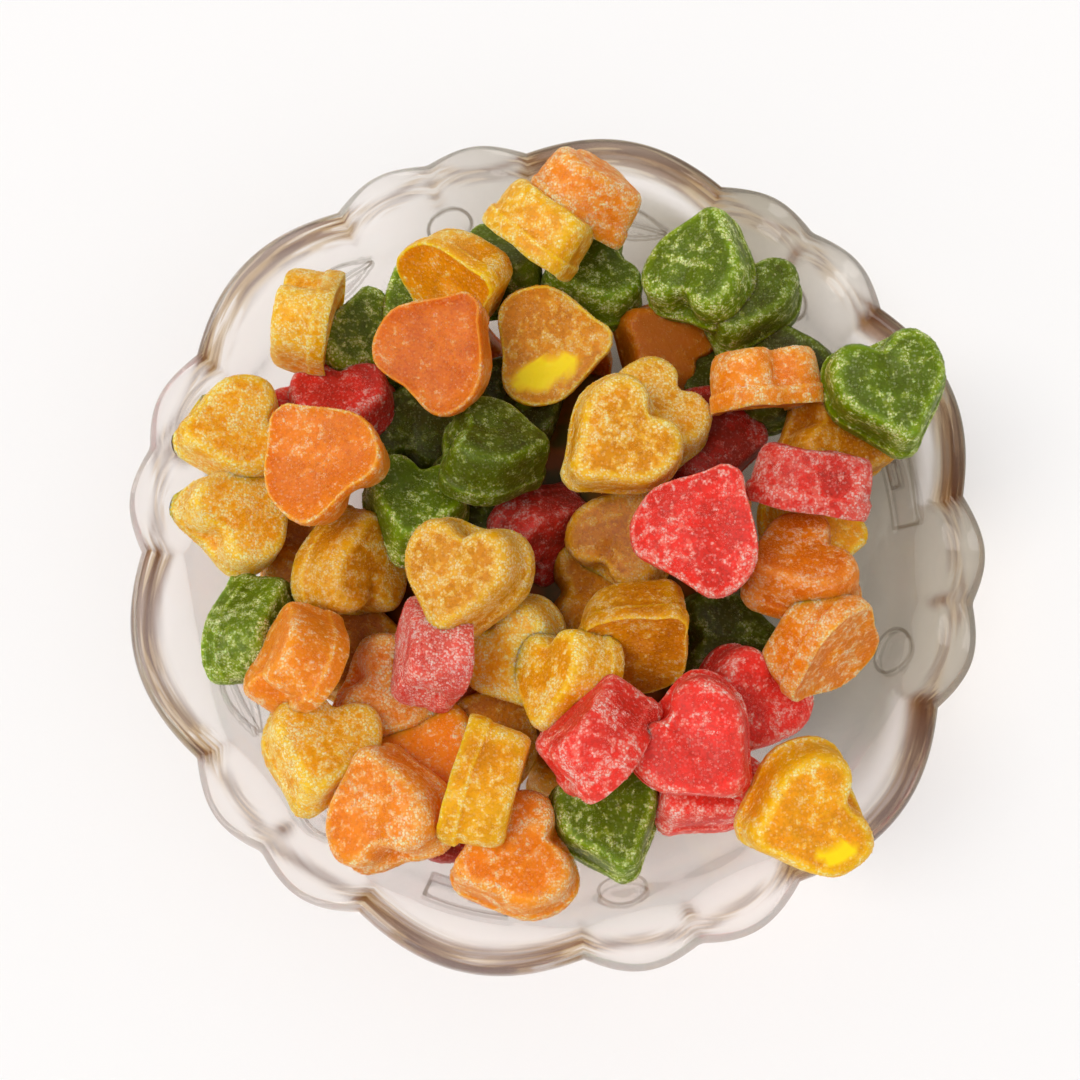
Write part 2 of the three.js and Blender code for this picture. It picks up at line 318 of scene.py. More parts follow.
@dataclass
class GlassBowl:
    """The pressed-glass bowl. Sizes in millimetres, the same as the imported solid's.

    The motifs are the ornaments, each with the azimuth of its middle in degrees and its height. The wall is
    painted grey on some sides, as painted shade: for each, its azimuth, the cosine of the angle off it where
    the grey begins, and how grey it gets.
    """

    rim_radius: float = 90.0
    rim_height: float = 55.0
    foot_radius: float = 42.0
    floor: float = 5.0
    repeats: int = 6
    turn: float = 19.0
    scallop_bulge: float = 4.0
    petal_bulge: float = 3.2
    petal_valley: float = 1.6
    lift: float = 1.0
    depth: float = 14.0
    steps: int = 540
    relief: float = 0.4
    bead: float = 4.8
    dish_depth: float = 1.1
    dish_lip: float = 0.45
    flange_rise: float = 2.0
    inner_edge: float = 85.5
    candy_edge: float = 84.5
    ornament_low: float = 28.0
    ornament_high: float = 52.0
    ornament_radius: float = 78.0
    ornament_slope: float = 1.25
    line_width: float = 0.65
    far: float = 9.0
    # Painted shade: the sides where the wall is painted grey.
    wall_shade: tuple = ((-4, 0.72, 0.68), (42, 0.75, 0.32), (78, 0.72, 0.5))
    motifs: tuple = (
        (Motif.FRAME, 8, 41), (Motif.RING, 46, 40), (Motif.LEAF, 77, 40),
        (Motif.RING, 108, 41), (Motif.LEAF, 130, 41), (Motif.FRAME, 160, 41),
        (Motif.LEAF, 207, 38), (Motif.RING, 231, 40), (Motif.FRAME, 257, 41),
        (Motif.RING, 281, 38), (Motif.LEAF, 312, 40), (Motif.RING, 341, 40),
    )

    def outer_points(self) -> list[tuple[float, float]]:
        """The wall's outside, from the foot to just under the rim."""
        r, h = self.rim_radius, self.rim_height
        return [
            (self.foot_radius, 0.0), (45, 0.9), (58, 9), (70.5, 21.5), (79, 35), (84, 46), (r - 1, h - 4),
        ]

    def rim_points(self) -> list[tuple[float, float]]:
        """The thick rounded edge, from the outside over the top."""
        r, h = self.rim_radius, self.rim_height
        return [
            (r, h - 1.6), (r - 0.3, h - 0.8), (r - 1.0, h - 0.25), (r - 2.0, h), (r - 3.0, h - 0.15),
            (r - 3.8, h - 0.6), (r - 4.5, h - 1.5),
        ]

    def inner_points(self) -> list[tuple[float, float]]:
        """The wall's inside, from the rim down to the floor."""
        return [(80.2, 46), (74.6, 35.5), (66, 23.5), (54, 12.5), (38, self.floor + 0.8), (20, self.floor)]

    def rim_place(self, azimuth: float) -> tuple[bool, float]:
        """Where an azimuth falls in the rim's pattern of one long scallop and two petals.

        Args:
            azimuth: in degrees.

        Returns:
            Whether it is on a petal, and how far along: from -1 to 1 on the long scallop, and on a petal
            from -1 next to the long scallop to 1 at the valley between the petals.
        """
        period = 360 / self.repeats
        edge = period / 4
        off = (azimuth - self.turn + period / 2) % period - period / 2
        if abs(off) <= edge:
            return False, off / edge
        return True, 2 * (abs(off) - edge) / edge - 1

    def scallop(self, azimuth: float) -> tuple[float, float]:
        """How far the rim stands out, and how far up, at an azimuth.

        Args:
            azimuth: in degrees.

        Returns:
            The two distances in millimetres.
        """
        petal, along = self.rim_place(azimuth)
        wave = math.cos(math.pi / 2 * along)
        if petal:
            return self.petal_valley * (along + 1) / 2 + self.petal_bulge * wave, -self.lift * wave
        return self.scallop_bulge * wave, self.lift * wave

    def wall_at(self, z: float | np.ndarray, edge: float) -> np.ndarray:
        """The inside radius at a height or at several, with the scallops left out.

        Args:
            z: the height or heights.
            edge: the radius just under the rim.

        Returns:
            The radius or radii.
        """
        points = sorted((h, r) for r, h in [*self.inner_points(), (edge, self.rim_height - 1.5)])
        return np.interp(z, [p[0] for p in points], [p[1] for p in points])

    def lines(self, azimuth: float, z: float) -> tuple[float, float]:
        """How far a place on the wall is from the nearest ornament's pressed lines.

        Args:
            azimuth: in degrees.
            z: the height.

        Returns:
            The distances in millimetres to the ornament's outline and to its inner line, negative on one
            side of it.
        """
        outline, inner = self.far, self.far
        for motif, centre, height in self.motifs:
            off = (azimuth - centre + 180) % 360 - 180
            u = math.radians(off) * self.ornament_radius
            v = (z - height) * self.ornament_slope
            if abs(off) > 14 or abs(v) > 11:
                continue
            if motif is Motif.RING:
                own = (math.hypot(u, v) - 5.2, self.far)
            elif motif is Motif.LEAF:
                half = 4.6 * math.cos(math.pi / 2 * min(1.0, abs(u) / 10.5))
                past = max(0.0, abs(u) - 10.0)
                own = (abs(v) - half + 2 * past, math.copysign(abs(v) + 20 * past, v))
            else:
                own = (max(abs(u) - 8.5, abs(v) - 4.2), max(abs(u - 3.5) - 3.0, abs(v + 1.2) - 1.6))
            if abs(own[0]) < abs(outline):
                outline, inner = own
        return outline, inner

    def ornament(self, azimuth: float, z: float) -> float:
        """How far the pressed ornament stands out from the wall, as a share of its full height."""
        nearest = min(abs(distance) for distance in self.lines(azimuth, z))
        return math.exp(-((nearest / self.line_width) ** 2))

    def on_top(self, radius: float, z: float) -> bool:
        """Whether a point of the turned profile is on the rim's top or the wall's inside."""
        return z > self.rim_height - 1.55 or radius - float(self.wall_at(z, self.inner_edge)) < 1.5

    def has_ornament(self, radius: float, z: float) -> bool:
        """Whether a point is on the wall's outside, at the height of the ornament."""
        return self.ornament_low < z < self.ornament_high and not self.on_top(radius, z)

    def press_rim(self, across: float, petal: bool, along: float) -> float:
        """How far the top of the rim rises: each petal is a spoon with a lip round it.

        Args:
            across: how far in from the rim's edge.
            petal: whether the place is on a petal.
            along: how far along the petal or the long scallop, from -1 to 1.

        Returns:
            The rise in millimetres, negative in the spoon's hollow.
        """
        if not petal:
            groove = math.exp(-(((across - self.bead) / 0.7) ** 2))
            return -0.5 * groove * (1 - along ** 4)
        rise = self.flange_rise * math.exp(-(((across - 7.8) / 2.6) ** 2)) * (1 - along ** 6)
        away = math.hypot(along / 0.88, (across - 5.2) / 4.4)
        hollow = self.dish_depth * max(0.0, 1 - away * away)
        lip = self.dish_lip * math.exp(-(((away - 1) / 0.17) ** 2))
        return rise - hollow + lip

    def press(self, point: Vector) -> Vector:
        """Moves a turned point to where the mould's scallops and ornament put it.

        Args:
            point: the point as turned, in millimetres.

        Returns:
            The point as pressed.
        """
        radius = math.hypot(point.x, point.y)
        if radius < 1e-6:
            return point
        azimuth = math.degrees(math.atan2(point.y, point.x))
        grow = 0.0
        rise = 0.0
        share = smoothstep(point.z, self.rim_height - self.depth, self.rim_height)
        if share > 0:
            out, up = self.scallop(azimuth)
            grow += out * share
            rise += up * share
            if self.on_top(radius, point.z):
                petal, along = self.rim_place(azimuth)
                rise += share * self.press_rim(self.rim_radius + out - radius - grow, petal, along)
        if self.has_ornament(radius, point.z):
            grow += self.relief * self.ornament(azimuth, point.z)
        scale = (radius + grow) / radius
        return Vector((point.x * scale, point.y * scale, point.z + rise))

    def build(self) -> bpy.types.Mesh:
        """Turns the profile about the axis and presses it.

        Returns:
            The mesh, in metres.
        """
        outer = curve_through(self.outer_points(), 1.0)
        rim = self.rim_points()
        inner = curve_through([rim[-1], *self.inner_points()], 1.1)
        bm = turned([(0.0, 0.0), (24.0, 0.0), *outer, *rim[:-1], *inner, (0.0, self.floor)], self.steps)
        for vert in bm.verts:
            vert.co = self.press(vert.co)
        bmesh.ops.recalc_face_normals(bm, faces=bm.faces)
        return mesh_from(bm, "glass_bowl")

    def tone(self, x: float, y: float, z: float) -> tuple[float, float, float, float, float]:
        """How the thick and the thin glass at a place looks.

        Args:
            x: place in millimetres.
            y: place in millimetres.
            z: place in millimetres.

        Returns:
            How much painted refraction it has, in brown streaks along the thick rim, and how much painted
            shade, from 0 to 1, how far it is in from the rim's edge, and how far from an ornament's outline
            and inner line.
        """
        radius = math.hypot(x, y)
        azimuth = math.degrees(math.atan2(y, x))
        petal, along = self.rim_place(azimuth)
        across = self.rim_radius + self.scallop(azimuth)[0] - radius
        high = smoothstep(z, self.rim_height - 12, self.rim_height - 6)
        # Painted refraction: the thick rim's brown streaks, dark corners and joints on the petals, and a
        # brown band along the long scallops.
        if petal:
            chord = 2.4 + self.petal_bulge * math.cos(math.pi / 2 * along)
            streak = math.exp(-(((across - chord) / 0.85) ** 2))
            corner = math.exp(-(((across - 6.0) / 1.3) ** 2) - ((1 - along) / 0.14) ** 2)
            joint = math.exp(-(((across - 3.2) / 2.2) ** 2) - ((1 + along) / 0.16) ** 2)
            rim_refraction = high * min(1.0, 0.75 * streak + corner + joint)
        else:
            band = smoothstep(across, 0.2, 1.0) * (1 - smoothstep(across, self.bead - 0.7, self.bead + 0.5))
            rim_refraction = high * band * (0.8 + 0.2 * along * along)
        window = high * smoothstep(across, self.bead, self.bead + 1.0) * (1 - smoothstep(across, 8.0, 10.0))
        # Painted shade: the wall greyer on some sides, less so in the clear window inside the long scallops'
        # band.
        grey = 0.0
        for middle, low, most in self.wall_shade:
            grey += most * smoothstep(math.cos(math.radians(azimuth - middle)), low, 0.99)
        grey *= 1 - 0.9 * window * (0.0 if petal else 1.0)
        if self.has_ornament(radius, z):
            return rim_refraction, grey, across, *self.lines(azimuth, z)
        return rim_refraction, grey, across, self.far, self.far

    def dress(self, finish: "GlassFinish") -> None:
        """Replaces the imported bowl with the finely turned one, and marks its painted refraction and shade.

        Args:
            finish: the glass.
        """
        mesh = self.build()
        tones = np.array([self.tone(*(c / MM for c in vert.co)) for vert in mesh.vertices])
        for column, name in enumerate(("rim_refraction", "wall_shade", "across", "outline", "inner")):
            mark(mesh, name, tones[:, column])
        piece = new_piece("glass_bowl", mesh, finish.material())
        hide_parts("bowl")

    def keep_inside(self, points: np.ndarray, gap: float = 0.4) -> np.ndarray:
        """Presses soft candy against the glass where it would pass through it.

        Args:
            points: rows of x, y and z in millimetres.
            gap: how far the candy stays from the glass.

        Returns:
            The points, moved inwards below the rim and upwards over it.
        """
        moved = points.copy()
        radius = np.hypot(moved[:, 0], moved[:, 1])
        wall = self.wall_at(moved[:, 2], self.candy_edge) - gap
        below = (moved[:, 2] < self.rim_height - 1.5) & (radius > wall)
        scale = np.where(below, wall / np.maximum(radius, 1e-6), 1.0)
        over = (radius > 83) & ~below
        moved[:, :2] *= scale[:, None]
        top = self.rim_height + self.lift + gap
        moved[:, 2] = np.where(over, np.maximum(moved[:, 2], top), moved[:, 2])
        moved[:, 2] = np.maximum(moved[:, 2], self.floor + gap + 0.1)
        return moved


# ---- the candy's mould ----------------------------------------------------------------------------


@dataclass
class Casting:
    """One heart as it leaves the mould, in millimetres, with how ridged each point is, from 0 to 1."""

    points: np.ndarray
    faces: list[list[int]]
    triangles: np.ndarray
    ridge: np.ndarray


@dataclass
class HeartMould:
    """The mould that every heart comes from: flat side down, tip along +X. Sizes in millimetres.

    The candy has a low skirt, where the jelly met the top of the mould, with hardly a notch. Above it stands
    the heart itself, with rounded shoulders, and a channel that runs in from the notch.
    """

    width: float = 26.0
    length: float = 25.0
    thickness: float = 13.0
    notch: float = 0.5
    blunt: float = 2.6
    skirt: float = 3.6
    notch_above: float = 2.4
    channel: float = 0.8
    dish: float = 0.75
    curve_steps: int = 7

    def outline(self) -> list[Vector]:
        """The skirt's outline, once round.

        Returns:
            Points in millimetres, from the notch.
        """
        back, side, tip = -self.length / 2, self.width / 2, self.length / 2
        curves = (
            ((back + self.notch, 0), (back + self.notch, -1.8), (back, -0.25 * side), (back, -0.5 * side)),
            ((back, -0.5 * side), (back, -0.8 * side), (back + 3.2, -side), (back + 9, -side)),
            ((back + 9, -side), (back + 15, -side), (tip - 7, -self.blunt - 4.7), (tip - 0.8, -self.blunt)),
            ((tip - 0.8, -self.blunt), (tip, -self.blunt * 0.7), (tip, -0.6), (tip, 0)),
        )
        half = []
        for index, (a, b, c, d) in enumerate(curves):
            count = self.curve_steps if index < 3 else 2
            for i in range(count):
                t = i / count
                s = 1 - t
                half.append(
                    Vector(a) * s ** 3 + Vector(b) * 3 * s * s * t
                    + Vector(c) * 3 * s * t * t + Vector(d) * t ** 3
                )
        mirrored = [Vector((p.x, -p.y)) for p in reversed(half[1:])]
        return [*half, Vector((tip, 0)), *mirrored]

    def raise_face(
        self, bm: bmesh.types.BMesh, face: bmesh.types.BMFace, up: float, scale: float
    ) -> bmesh.types.BMFace:
        """Extrudes the top face, up and about the axis.

        Args:
            bm: the bmesh.
            face: the face to raise.
            up: how far.
            scale: how much smaller or larger it becomes.

        Returns:
            The new top face.
        """
        made = bmesh.ops.extrude_face_region(bm, geom=[face])["geom"]
        top = next(g for g in made if isinstance(g, bmesh.types.BMFace))
        verts = list(top.verts)
        bmesh.ops.translate(bm, vec=(0, 0, up), verts=verts)
        bmesh.ops.scale(bm, vec=(scale, scale, 1), verts=verts)
        if face.is_valid:
            bmesh.ops.delete(bm, geom=[face], context="FACES_ONLY")
        return top

    def press_notch(self, point: Vector) -> Vector:
        """Deepens the notch above the skirt, and runs a channel in from it over the crown.

        Args:
            point: a point of the heart, in millimetres.

        Returns:
            The point as pressed.
        """
        skirt_top = self.skirt - self.thickness / 2
        crown_top = self.thickness / 2
        above = smoothstep(point.z, skirt_top - 0.4, skirt_top + 1.6)
        crown = smoothstep(point.z, crown_top - 3.5, crown_top - 0.5)
        in_notch = math.exp(-((point.y / 2.6) ** 2)) * smoothstep(-point.x, 4.0, self.length / 2)
        in_channel = math.exp(-((point.y / 2.0) ** 2)) * smoothstep(-point.x, -4.0, 7.0)
        forward = self.notch_above * in_notch * above
        down = self.channel * in_channel * crown
        return Vector((point.x + forward, point.y, point.z - down))

    def build(self) -> Casting:
        """Builds one heart by raising its outline in steps.

        Returns:
            The heart, with its faces and triangles as indices.
        """
        bm = bmesh.new()
        low = self.dish - self.thickness / 2
        start = bm.faces.new([bm.verts.new((p.x * 0.12, p.y * 0.12, low)) for p in self.outline()])
        base = bmesh.ops.extrude_face_region(bm, geom=[start])["geom"]
        top = next(g for g in base if isinstance(g, bmesh.types.BMFace))
        if not start.is_valid:
            raise RuntimeError("the heart lost its flat face")
        rises_and_scales = (
            (0.0, 2.45), (-0.05, 1.7), (-0.1, 1.36), (-0.15, 1.2), (-0.35, 1.1), (-0.12, 1.035),
            (0.1, 1.02), (0.35, 1.016), (0.7, 1.01), (1.3, 1.0), (self.skirt - 3.0, 0.995),
            (0.4, 0.972), (0.3, 0.975), (1.3, 0.99), (1.7, 0.985), (1.6, 0.98), (1.0, 0.972),
            (0.7, 0.955), (0.42, 0.942), (0.18, 0.93), (0.05, 0.88), (0.03, 0.8), (0.0, 0.66), (-0.05, 0.5),
        )
        for up, scale in rises_and_scales:
            top = self.raise_face(bm, top, up, scale)
        bmesh.ops.recalc_face_normals(bm, faces=bm.faces)
        lowest = min(v.co.z for v in bm.verts)
        stretch = self.thickness / (max(v.co.z for v in bm.verts) - lowest)
        for vert in bm.verts:
            vert.co.z = (vert.co.z - lowest) * stretch - self.thickness / 2
            vert.co = self.press_notch(vert.co)
        bm.normal_update()
        bm.verts.ensure_lookup_table()
        points = np.array([v.co[:] for v in bm.verts])
        ridge = np.zeros(len(points))
        for vert in bm.verts:
            bends = [edge.calc_face_angle_signed(0.0) for edge in vert.link_edges]
            ridge[vert.index] = min(1.0, max(0.0, max(bends)) / 0.5)
        faces = [[v.index for v in face.verts] for face in bm.faces]
        bm.free()
        triangles = np.array([[f[0], f[i], f[i + 1]] for f in faces for i in range(1, len(f) - 1)])
        return Casting(points, faces, triangles, ridge)


# ---- the heap -------------------------------------------------------------------------------------


@dataclass
class SugarCrystals:
    """Loose sugar: small uneven six-sided crystals, half sunk in the jelly. Sizes in millimetres."""

    smallest: float = 0.09
    largest: float = 0.22
    most: int = 32000
    corners: tuple = (
        (1.0, 0.0, 0.0), (-0.5, 0.87, 0.0), (-0.5, -0.87, 0.0), (0.0, 0.0, 1.0), (0.0, 0.0, -1.0),
    )
    sides: tuple = ((0, 1, 3), (1, 2, 3), (2, 0, 3), (1, 0, 4), (2, 1, 4), (0, 2, 4))

    def build(
        self, name: str, places: np.ndarray, shades: np.ndarray, rng: np.random.Generator
    ) -> bpy.types.Mesh:
        """Joins one crystal at each place into a mesh.

        Args:
            name: the mesh's name.
            places: the crystals' middles, in millimetres.
            shades: how deep in the heap's shade each crystal is, from 0 to 1.
            rng: the source of their turns and sizes.

        Returns:
            The mesh, in metres.
        """
        count = len(places)
        turns = np.linalg.qr(rng.normal(size=(count, 3, 3)))[0]
        turns[:, :, 2] *= np.sign(np.linalg.det(turns))[:, None]
        reach = self.smallest + (self.largest - self.smallest) * rng.random(count) ** 1.8
        stretch = reach[:, None] * rng.uniform(0.65, 1.0, size=(count, 3))
        corners = np.array(self.corners, float)
        local = corners[None, :, :] * stretch[:, None, :]
        points = np.einsum("nij,nkj->nki", turns, local) + places[:, None, :]
        faces = np.array(self.sides)[None, :, :] + (np.arange(count) * len(corners))[:, None, None]
        mesh = bpy.data.meshes.new(name)
        mesh.from_pydata((points.reshape(-1, 3) * MM).tolist(), [], faces.reshape(-1, 3).tolist())
        mark(mesh, "shade", np.repeat(shades, len(corners)))
        return mesh


@dataclass
class Heart:
    """One candy of the heap, whether it was placed one by one, and its points in the bowl's frame."""

    candy: Candy
    shown: bool
    points: np.ndarray


@dataclass
class Heap:
    """The heap of hearts: those that show, placed one by one, and those that the glass shows lower down.

    Each row of hidden hearts has a height, the radius of its ring and how many places there are round it.
    """

    mould: HeartMould
    bowl: GlassBowl
    seed: int = 11
    lump: float = 0.25
    hidden_rows: tuple = ((14.0, 41.0, 9), (26.5, 54.0, 13), (38.0, 63.5, 15))
    floor_row: tuple = (13.0, 17.0, 4)
    leans: tuple = (8, 35, 50, 58)
    clearance: float = 19.0
    tries: int = 3
    crystals: SugarCrystals = field(default_factory=SugarCrystals)

    def hidden(self) -> list[Candy]:
        """Hearts in rings against the wall, where none that shows is already.

        Returns:
            The hearts, lowest ring first.
        """
        rng = random.Random(self.seed)
        found: list[Candy] = []
        flavours = list(Flavour)
        for ring, (height, radius, count) in enumerate((self.floor_row, *self.hidden_rows)):
            for i in range(count):
                azimuth = 360 * (i + 0.5 * (ring % 2) + rng.uniform(-0.12, 0.12)) / count
                x = radius * math.cos(math.radians(azimuth))
                y = radius * math.sin(math.radians(azimuth))
                z = height + rng.uniform(-1.0, 1.0)
                near = min((Vector((x - c.x, y - c.y, z - c.z)).length for c in SHOWN), default=99.0)
                if near < self.clearance:
                    continue
                lean = self.leans[ring] + rng.uniform(-6, 6)
                found.append(
                    Candy(
                        flavours[rng.randrange(4)], x, y, z, rng.uniform(0, 360), lean, azimuth + 180,
                        rng.choice((MOULDED, FLAT)), 0.97, 0.35, 0.35,
                    )
                )
        return found

    def shaped(self, candy: Candy, points: np.ndarray, number: int) -> np.ndarray:
        """Gives a heart its own unevenness, turns and places it, and keeps it off the glass.

        Args:
            candy: where it lies.
            points: the mould's points.
            number: the heart's number in the heap.

        Returns:
            The points in the bowl's frame, in millimetres.
        """
        rng = random.Random(self.seed * 1000 + number)
        stretch = np.array([rng.uniform(0.97, 1.03), rng.uniform(0.97, 1.03), rng.uniform(0.94, 1.04)])
        offset = Vector((number * 37.0, 0, 0))
        lumps = np.array([noise.noise_vector(Vector(p) * 0.16 + offset)[:] for p in points])
        dents = np.array([noise.noise_vector(Vector(p) * 0.5 + offset)[:] for p in points])
        own = points * stretch + lumps * self.lump * 1.6 + dents * self.lump * 0.5
        own[:, 2] += rng.uniform(-0.002, 0.004) * (own[:, 0] ** 2 - 60)
        own[:, 0] += rng.uniform(-0.03, 0.03) * own[:, 1]
        turn = np.array(candy.matrix())
        placed = own @ turn[:3, :3].T + turn[:3, 3]
        return self.bowl.keep_inside(placed)

    def bare_glow_share(self, points: np.ndarray) -> np.ndarray:
        """How bare of sugar the jelly is at each point, and how far it is painted with a glow, where light
        comes out bright through a bare bevel.

        Args:
            points: rows of x, y and z in millimetres.

        Returns:
            A share from 0 to 1 for each point.
        """
        share = np.zeros(len(points))
        for x, y, turn, long, wide, low in BARE_GLOWING_BEVELS:
            c, s = math.cos(math.radians(turn)), math.sin(math.radians(turn))
            along = ((points[:, 0] - x) * c + (points[:, 1] - y) * s) / long
            across = ((points[:, 1] - y) * c - (points[:, 0] - x) * s) / wide
            away = np.hypot(along, across)
            inside = np.clip((1.1 - away) / 0.16, 0.0, 1.0)
            share = np.maximum(share, inside * (points[:, 2] > low))
        return share

    def sprinkle(
        self, points: np.ndarray, casting: Casting, wanted: int, rng: np.random.Generator
    ) -> np.ndarray:
        """Scatters sugar over one heart: more on its ridges and in patches.

        Args:
            points: its points in the bowl's frame.
            casting: the heart as it left the mould.
            wanted: how many crystals.
            rng: the source of their places.

        Returns:
            The crystals' middles, in millimetres.
        """
        a, b, c = (points[casting.triangles[:, i]] for i in range(3))
        cross = np.cross(b - a, c - a)
        double = np.linalg.norm(cross, axis=1)
        normal = cross / np.maximum(double, 1e-9)[:, None]
        middle = (a + b + c) / 3
        ridged = casting.ridge[casting.triangles].mean(axis=1)
        off_axis = np.maximum(1.0, np.hypot(middle[:, 0], middle[:, 1]))
        outward = (normal[:, :2] * middle[:, :2]).sum(axis=1) / off_axis
        facing = np.clip(0.3 + 0.9 * normal[:, 2] + 0.35 * outward, 0.04, 1.0)
        weight = double * facing * (0.6 + 0.9 * ridged)
        tries = wanted * self.tries
        chosen = rng.choice(len(casting.triangles), size=tries, p=weight / weight.sum())
        u, v = rng.random(tries), rng.random(tries)
        fold = u + v > 1
        u[fold], v[fold] = 1 - u[fold], 1 - v[fold]
        spots = a[chosen] + (b - a)[chosen] * u[:, None] + (c - a)[chosen] * v[:, None]
        clump = [noise.noise(Vector(p) * 0.22) + 0.5 * noise.noise(Vector(p) * 0.7) for p in spots]
        bare = self.bare_glow_share(spots)
        liking = np.array(clump) + rng.normal(0.0, 0.25, tries) - 9.0 * bare
        kept = np.argsort(-liking)[:wanted]
        return spots[kept] + normal[chosen][kept] * 0.04

    def crystals_on(self, heart: Heart) -> float:
        """How many crystals a heart would have if there were no limit."""
        return (500 + 3600 * heart.candy.frost * (1 - 0.5 * heart.candy.shade)) if heart.shown else 350

    def build(self, finishes: dict[Flavour, "JellyFinish"]) -> None:
        """Makes the hearts and their sugar, joined by flavour.

        Args:
            finishes: each flavour's finish.
        """
        casting = self.mould.build()
        candies = [(candy, True) for candy in SHOWN] + [(candy, False) for candy in self.hidden()]
        log.info("%d hearts, %d points each", len(candies), len(casting.points))
        hearts = [
            Heart(candy, shown, self.shaped(candy, casting.points, number))
            for number, (candy, shown) in enumerate(candies)
        ]
        for flavour in Flavour:
            own = [heart for heart in hearts if heart.candy.flavour is flavour]
            self.build_flavour(finishes[flavour], flavour.value, own, casting)

    def build_flavour(self, finish: "JellyFinish", name: str, own: list[Heart], casting: Casting) -> None:
        """Joins one flavour's hearts into a piece, and their sugar into another.

        Args:
            finish: the flavour's finish.
            name: the flavour's name.
            own: its hearts.
            casting: the heart as it left the mould.
        """
        count = len(casting.points)
        mesh = bpy.data.meshes.new(f"{name}_hearts")
        joined = [[v + k * count for v in face] for k in range(len(own)) for face in casting.faces]
        mesh.from_pydata((np.vstack([heart.points for heart in own]) * MM).tolist(), [], joined)
        mark(mesh, "ridge", np.tile(casting.ridge, len(own)))
        mark(mesh, "frost", np.repeat([heart.candy.frost for heart in own], count))
        mark(mesh, "shade", np.repeat([heart.candy.shade for heart in own], count))
        # This mark keeps sugar off the bare bevels and gives them a painted glow in the lit colour.
        mark(mesh, "clear", np.hstack([self.bare_glow_share(heart.points) for heart in own]))
        hearts = new_piece(mesh.name, mesh, finish.jelly())
        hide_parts("candy_heap")
        rng = np.random.default_rng(self.seed + len(own))
        wanted = [self.crystals_on(heart) for heart in own]
        share = min(1.0, self.crystals.most / sum(wanted))
        counts = [int(number * share) for number in wanted]
        spots = [self.sprinkle(heart.points, casting, number, rng) for heart, number in zip(own, counts)]
        shades = np.repeat([heart.candy.shade for heart in own], counts)
        grains = self.crystals.build(f"{name}_sugar", np.vstack(spots), shades, rng)
        sugar = new_piece(grains.name, grains, finish.sugar_crystals())


@dataclass
class HeapCore:
    """The middle of the heap, which the hearts hide: a smaller turned solid. Sizes in millimetres."""

    profile: tuple = (
        (0.0, 7.0), (26.0, 7.5), (38.0, 16.0), (46.0, 27.0), (42.0, 33.0), (20.0, 35.0), (0.0, 35.0),
    )
    steps: int = 48

    def build(self) -> bpy.types.Mesh:
        """Turns the core about the bowl's axis.

        Returns:
            The mesh, in metres.
        """
        bm = turned(self.profile, self.steps)
        bmesh.ops.recalc_face_normals(bm, faces=bm.faces)
        return mesh_from(bm, "heap_core")

    def dress(self, finish: "CoreFinish") -> None:
        """Puts the core in the heap's middle.

        Args:
            finish: its jelly.
        """
        core = new_piece("heap_core", self.build(), finish.material())
        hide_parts("candy_heap")


# ---- finishes -------------------------------------------------------------------------------------

Colour = tuple[float, float, float]

# The noise of the sugar's clots and patches, as scale and detail, and how far the painted shade darkens the
# sugar.
CLOTS = (560.0, 3.0)
PATCHES = (150.0, 2.0)
SUGAR_SHADE = 0.85


def linear(colour: Colour) -> tuple[float, float, float, float]:
    """A colour as the eye reads it, 0 to 255, as the shader wants it."""
    shares = [c / 255 for c in colour]
    return (*[s / 12.92 if s <= 0.04045 else ((s + 0.055) / 1.055) ** 2.4 for s in shares], 1.0)


